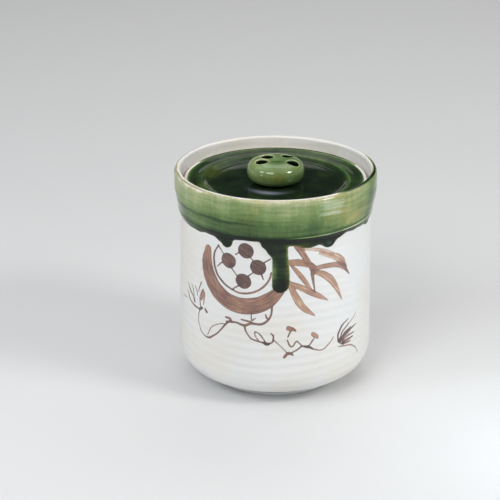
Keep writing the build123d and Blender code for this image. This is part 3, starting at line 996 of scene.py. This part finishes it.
turn, out, up, inset = (kept_values(coat, label) for label in ("turn", "out", "up", "inset"))
degrees = np.degrees(turn)
left = smooth_step(30, -40, degrees)
front = smooth_step(-56, -30, degrees) * smooth_step(62, 30, degrees)
LEVELS = (147, 151, 153, 156, 160, 164, 167, 171, 176, 182, 185, 186.6, 187.8)
DEPTHS = (0.95, 0.92, 0.85, 0.67, 0.565, 0.57, 0.505, 0.44, 0.38, 0.32, 0.25, 0.21, 0.16)
depth = np.interp(up, LEVELS, DEPTHS)
depth += (0.24 + 0.06 * wavy(turn, 9, 60)) * left**2 * bump_at(up, 166.4 + 0.7 * wavy(turn, 3, 20), 0.9 + 0.7 * left) + 0.05 * bump_at(up, 167.0, 0.5)
depth += 0.07 * bump_at(up, 171.0 + 0.2 * wavy(turn, 4, 12), 0.45) + 0.05 * bump_at(up, 162.0, 0.6)
# partly painted shade: darker in the crease under the collar at the front, as well as glaze gathered there
depth += 0.30 * front * bump_at(up, COLLAR_LOW, 2.3)
# partly a painted highlight: a thin light line along the collar's lower edge on the right, partly glaze thin over the
# edge
right = smooth_step(2, 20, degrees) * smooth_step(92, 75, degrees)
depth -= 0.74 * right * bump_at(up, COLLAR_LOW + 1.7 + 0.2 * wavy(turn, 6, 12), 0.55)
below = smooth_step(COLLAR_LOW - 1, COLLAR_LOW - 3, up)
depth -= below * 0.26 * smooth_step(1.8, 0.2, inset)
depth += 0.05 * wavy(turn, 21, 40) * smooth_step(COLLAR_LOW, COLLAR_LOW + 6, up)
depth += 0.22 * bump_at(degrees, 70, 9) * smooth_step(160, 178, up)
depth -= 0.13 * smooth_step(-15, -60, degrees) * smooth_step(COLLAR_LOW + 1, COLLAR_LOW + 6, up)
depth -= 0.10 * bump_at(degrees, 35, 9) * bump_at(up, 165, 7) + 0.07 * bump_at(degrees, -33, 12) * bump_at(up, 178, 5)
depth -= 0.30 * bump_at(degrees, 50, 12) * bump_at(up, 163, 6) + 0.12 * bump_at(degrees, 42, 14) * bump_at(up, 174, 7)
run = bump_at(degrees, 3.3, 7.0) * smooth_step(COLLAR_LOW - 2, COLLAR_LOW - 8, up)
depth += 0.16 * run * smooth_step(124, 112, up)
depth -= 0.34 * bump_at(degrees, -0.4, 1.5) * bump_at(up, 125, 9)
depth -= 0.04 * run + 0.28 * run * smooth_step(4.6, 7.6, degrees)
depth -= 0.22 * smooth_step(46, 64, np.abs(degrees)) * smooth_step(155, 150, up)
depth -= 0.14 * smooth_step(-30, -46, degrees) * smooth_step(157, 152, up)
brown = bump_at(degrees, 16, 8) * bump_at(up, 149, 3)
depth -= 0.16 * brown
olive = 0.08 + 0.45 * bump_at(degrees, 52, 14) * bump_at(up, 165, 9)
olive += 0.9 * run * smooth_step(4.0, 7.0, degrees) + 0.3 * below * smooth_step(2.0, 0.3, inset) + 0.7 * brown
keep_values(coat, depth=depth, olive=np.clip(olive, 0, 1))
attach(coat, "jar")
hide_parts("collar_glaze")
print("green coat reaches down to", round(float(up.min()), 1))

# %% [markdown]
# Copper glaze lies deepest where the lid is hollow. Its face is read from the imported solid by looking
# straight down on it, then gets the small swells of a melt that has set. It ends in an uneven line
# just inside the lid's pale border.

# %% The green pool of the lid


def seen_from_above(node, radii):
    """Heights of a round solid at some radii, in millimetres."""
    hits = [nodes[node].ray_cast((radius * MM, 0, 0.3), (0, 0, -1))[1].z / MM for radius in radii]
    return np.array(hits)


def border_material():
    """Pale border of the lid, with a thin brown line where it meets the gap, and green at its back."""
    material, wiring, place, shader = start_material("lid_border_glaze", 0.25)
    shader.inputs["Specular IOR Level"].default_value = 0.2
    split = wiring.add("ShaderNodeSeparateXYZ", {0: place}).outputs
    flat = wiring.add("ShaderNodeCombineXYZ", {0: split[0], 1: split[1]}).outputs[0]
    out = wiring.add("ShaderNodeVectorMath", {0: flat}, operation="LENGTH").outputs["Value"]
    uneven = wiring.math("MULTIPLY", wiring.math("SUBTRACT", wiring.noise(place, 30.0, 2.0), 0.5), 0.03)
    back = wiring.fit(wiring.math("ADD", split[1], uneven), 0.03, 0.055)
    depth = wiring.math("MULTIPLY", back, wiring.fit(out, 0.0764, 0.0774, 0.92, 0.15))
    copper = place_group(wiring, COPPER_GROUP, Place=place, Depth=depth, Olive=0.2, Clouds=0.3)
    pale = place_group(wiring, PALE_GROUP, Place=place, Tone=(*WARM_WHITE, 1.0))
    brown = wiring.mix(wiring.fit(out, 0.0762, 0.0772, 0.0, 0.75), pale["Color"], (0.23, 0.145, 0.09, 1.0))
    wiring.feed(shader.inputs["Base Color"], wiring.mix(wiring.fit(depth, 0.03, 0.14), brown, copper["Color"]))
    raise_surface(wiring, shader, pale["Height"], 0.02)
    return material


POOL_EDGE = reach("lid_glaze")
POOL_HOLE = 14.2
bpy.context.view_layer.update()
radii = rows([(POOL_EDGE - 0.05, 0), (POOL_HOLE + 0.4, 0)], 0.8)
radii = np.array([radius for radius, _ in radii])
face = seen_from_above("lid_glaze", radii)
back = seen_from_above("lid_plate", radii) - 0.3
outline = [(POOL_HOLE, back[-1])]
outline += list(zip(radii[::-4], back[::-4]))
outline += list(zip(radii, face)) + [(POOL_HOLE, face[-1])]
pool = wheel_sheet("lid_green_pool", all_round(0.8), outline, ring=True, free=0.0)
turn, out, up = (kept_values(pool, label) for label in ("turn", "out", "up"))
near_edge = smooth_step(POOL_EDGE - 8, POOL_EDGE, out)
out = out + near_edge * (0.55 * wavy(turn, 31, 9) - 0.35)
proud = up > np.interp(out, radii[::-1], back[::-1]) + 0.1
swell = 0.16 * wavy(turn, 33, 7) * np.sin(out / 7.0 + 1.3 * wavy(turn, 34, 3)) * smooth_step(POOL_EDGE, POOL_EDGE - 6, out)
up = up + np.where(proud, swell, 0)
for label, values in (("out", out), ("up", up)):
    pool.data.attributes[label].data.foreach_set("value", values.astype(np.float32))
throw(pool, LID_COPPER)
turn, out, up = (kept_values(pool, label) for label in ("turn", "out", "up"))
degrees = np.degrees(turn)
depth = np.interp(out, (14, 22, 50, 56, 60, 66, 69, 72, 74, 75.2), (0.84, 0.88, 0.92, 0.86, 0.80, 0.80, 0.86, 0.80, 0.60, 0.1))
away = np.abs((turn + math.pi) % math.tau - math.pi) / math.pi
depth -= 0.05 * smooth_step(0.45, 0.95, away) * smooth_step(30, 50, out)
# the ridge at 62 mm is lighter all round; the extra lightness on the right side, here and in a band at 70 mm, is a
# painted highlight
side = smooth_step(40, 85, degrees) * smooth_step(178, 150, degrees)
depth -= (0.08 + 0.20 * side) * bump_at(out, 62.4 + 0.5 * wavy(turn, 35, 7), 1.5)
depth -= 0.10 * side * bump_at(out, 70, 4)
depth += 0.04 * wavy(turn, 36, 9)
patches = bump_at(degrees, -112, 16) * bump_at(out, 56, 8) + 0.7 * bump_at(degrees, -70, 12) * bump_at(out, 64, 6)
patches += 0.8 * bump_at(degrees, 115, 12) * bump_at(out, 46, 7)
# painted reflection: a pale bluish crescent on the pool in front of the knob, a little to the left
milk = 0.8 * bump_at(out, 28.6, 3.4) * bump_at(degrees, -14, 26)
keep_values(pool, depth=depth - 0.10 * patches, olive=np.clip(0.6 * patches + 0.1, 0, 1), milk=milk)
dress("lid_plate", border_material())
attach(pool, "lid")
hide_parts("lid_glaze")
print("pool of the lid:", len(pool.data.vertices), "points")

# %% [markdown]
# The knob was cut with a loop while the clay was leather hard, and its cut edges were wiped round
# with a wet finger. A fine remesh of the solid's shape and a few passes of smoothing round them the
# same way. The glaze is thin on the edges and deep in the hollows. Inside the knob the colour is
# darker still, partly gathered glaze and partly painted shade, and the left side is lighter as painted light.

# %% The pierced knob


def soft_copy(node, name, voxel, passes):
    """New mesh object with a solid's shape, its edges worn round."""
    piece = bpy.data.objects.new(name, nodes[node].data.copy())
    bpy.context.scene.collection.objects.link(piece)
    remesh = piece.modifiers.new("remesh", "REMESH")
    remesh.mode = "VOXEL"
    remesh.voxel_size = voxel
    remesh.use_smooth_shade = True
    smooth = piece.modifiers.new("smooth", "SMOOTH")
    smooth.factor = 0.5
    smooth.iterations = passes
    graph = bpy.context.evaluated_depsgraph_get()
    worn = bpy.data.meshes.new_from_object(piece.evaluated_get(graph))
    piece.modifiers.clear()
    piece.data = worn
    worn.name = name
    worn.materials.clear()
    return piece


def edge_sharpness(mesh, passes=6):
    """Positive on outward edges and negative in hollows, from how far points lie off their neighbours."""
    points = np.empty(len(mesh.vertices) * 3)
    mesh.vertices.foreach_get("co", points)
    points = points.reshape(-1, 3) / MM
    normals = np.empty(len(mesh.vertices) * 3)
    mesh.vertices.foreach_get("normal", normals)
    normals = normals.reshape(-1, 3)
    ends = np.empty(len(mesh.edges) * 2, dtype=np.int32)
    mesh.edges.foreach_get("vertices", ends)
    ends = ends.reshape(-1, 2)
    meet = np.bincount(ends.reshape(-1), minlength=len(points))[:, None]

    def spread(values):
        total = np.zeros_like(values)
        np.add.at(total, ends[:, 0], values[ends[:, 1]])
        np.add.at(total, ends[:, 1], values[ends[:, 0]])
        return total / meet

    smooth = points
    for _ in range(passes):
        smooth = spread(smooth)
    off = ((points - smooth) * normals).sum(1)[:, None]
    for _ in range(2):
        off = spread(off)
    return off[:, 0]


def under_outline(points, step=0.5):
    """How far each point of a turned piece lies under its own outer outline, in millimetres."""
    out = np.hypot(points[:, 0], points[:, 1])
    up = points[:, 2]

    def outermost(along, value):
        """The outline at each point: the highest value among the points with the same place along."""
        slot = np.round((along - along.min()) / step).astype(int)
        highest = np.full(slot.max() + 1, -np.inf)
        np.maximum.at(highest, slot, value)
        filled = np.flatnonzero(np.isfinite(highest))
        return np.interp(along, along.min() + filled * step, highest[filled])

    return np.minimum(outermost(out, up) - up, outermost(up, out) - out)


knob = soft_copy("lid_knob", "pierced_knob", 0.42 * MM, 14)
knob.data.materials.append(KNOB_COPPER)
sharp = edge_sharpness(knob.data)
points = np.array([vertex.co for vertex in knob.data.vertices]) / MM
reach_out = np.hypot(points[:, 0], points[:, 1])
knob_low, knob_high = heights("lid_knob")
rise = (points[:, 2] - knob_low) / (knob_high - knob_low)
depth = np.interp(rise, (0, 0.2, 0.4, 0.5, 0.6, 0.85, 1.0), (0.90, 0.64, 0.55, 0.52, 0.49, 0.45, 0.42))
# painted light: the knob is lighter on its left side
depth -= 0.10 * smooth_step(4, -16, points[:, 0])
depth -= np.clip(sharp, 0, 0.12) * 1.8
depth += np.clip(-sharp, 0, None) * 1.2
hub = np.exp(-((reach_out / 6.0) ** 2)) * smooth_step(0.6, 0.9, rise)
depth -= 0.10 * hub
depth += 0.20 * bump_at(points[:, 0], 1.5, 5) * bump_at(points[:, 1], -7.5, 2.6) * (rise > 0.7)
# the inside of the hollow knob, under its outline, is darker: partly glaze gathered there, partly painted shade
depth += 0.8 * smooth_step(0.6, 2.0, under_outline(points)) * (rise > 0.3)
front = bump_at(points[:, 0], 0, 7) * (points[:, 1] < 0)
keep_values(knob, depth=depth, olive=np.clip(0.05 + 0.75 * front * bump_at(rise, 0.55, 0.22), 0, 1))
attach(knob, "lid")
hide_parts("lid_knob")
print("knob:", len(knob.data.polygons), "faces; sharpest", round(float(sharp.max()), 2))

# %% [markdown]
# The jar stands on a plain pale floor that fills the view. Light comes from a large soft source high
# on the left front, a soft strip on each side whose reflections stand in the collar, and a pale
# surrounding that is dark where the lid would mirror it.

# %% Floor


def stage_floor():
    half = 3.0
    mesh = bpy.data.meshes.new("studio_floor")
    mesh.from_pydata([(-half, -half, 0), (half, -half, 0), (half, half, 0), (-half, half, 0)], [], [(0, 1, 2, 3)])
    floor = bpy.data.objects.new("studio_floor", mesh)
    bpy.context.scene.collection.objects.link(floor)
    material = bpy.data.materials.new("pale_floor")
    material.use_nodes = True
    shader = material.node_tree.nodes["Principled BSDF"]
    shader.inputs["Base Color"].default_value = (0.74, 0.74, 0.735, 1.0)
    shader.inputs["Roughness"].default_value = 0.7
    mesh.materials.append(material)
    return floor


stage_floor()

# %% Light


def soft_lamp(name, place, aim, size, power, spread=180.0, tint=(1.0, 1.0, 1.0)):
    """Rectangular area lamp, placed and aimed in metres."""
    lamp = bpy.data.lights.new(name, "AREA")
    lamp.shape = "RECTANGLE"
    lamp.size, lamp.size_y = size
    lamp.energy = power
    lamp.spread = math.radians(spread)
    lamp.color = tint
    holder = bpy.data.objects.new(name, lamp)
    bpy.context.scene.collection.objects.link(holder)
    turn_towards(holder, place, aim)
    return holder


def turn_towards(thing, place, aim):
    place, aim = Vector(place), Vector(aim)
    thing.location = place
    thing.rotation_euler = (aim - place).to_track_quat("-Z", "Y").to_euler()


soft_lamp("key_left", (-1.30, -0.62, 1.15), (0, 0, 0.1), (0.45, 0.35), 5.5, 180.0, (0.80, 0.90, 1.0))
soft_lamp("key_right", (1.30, -0.62, 1.15), (0, 0, 0.1), (0.45, 0.35), 11.5)
soft_lamp("key_front", (-0.75, -1.45, 1.5), (0, 0, 0.1), (1.0, 0.8), 16.0)
soft_lamp("strip_left", (-0.80, -0.54, 0.22), (0, 0, 0.12), (0.11, 0.17), 0.6, 180.0, (0.85, 0.93, 1.0))
patch = soft_lamp("low_right", (0.285, -0.175, 0.088), (0.04, -0.06, 0.15), (0.17, 0.055), 0.15, 180.0, (0.76, 0.90, 1.0))
patch.data.shape = "ELLIPSE"
soft_lamp("back_fill", (0.35, 1.3, 1.8), (0, 0, 0.1), (1.8, 1.2), 8.0)


def studio_surround():
    world = bpy.data.worlds.new("studio_surround")
    bpy.context.scene.world = world
    world.use_nodes = True
    wiring = Wiring(world.node_tree)
    world.node_tree.nodes.clear()
    direction = wiring.add("ShaderNodeTexCoord").outputs["Generated"]
    rise = wiring.add("ShaderNodeSeparateXYZ", {0: direction}).outputs[2]
    tone = wiring.ramp(
        rise,
        ((0.0, (0.44, 0.44, 0.45)), (0.10, (0.44, 0.44, 0.45)), (0.2, (0.04, 0.04, 0.045)),
         (0.62, (0.04, 0.04, 0.045)), (0.85, (0.8, 0.8, 0.8)), (1.0, (0.9, 0.9, 0.9))),
    )
    back = wiring.add("ShaderNodeBackground", {"Color": tone, "Strength": 1.0})
    wiring.add("ShaderNodeOutputWorld", {"Surface": back.outputs[0]})


studio_surround()

# %% [markdown]
# The camera looks down on the jar from about one jar's length per six of distance, as a long lens
# from standing height does, and was fitted to the picture's outline together with the jar's shape.

# %% Camera and view
camera = bpy.data.objects.new("front_camera", bpy.data.cameras.new("front_camera"))
bpy.context.scene.collection.objects.link(camera)
turn_towards(camera, (0, -1.3, 0.6434), (-0.0217, 0, 0.1119))
camera.data.lens = 117
camera.data.sensor_width = 36
bpy.context.scene.camera = camera
bpy.context.scene.view_settings.view_transform = "Standard"
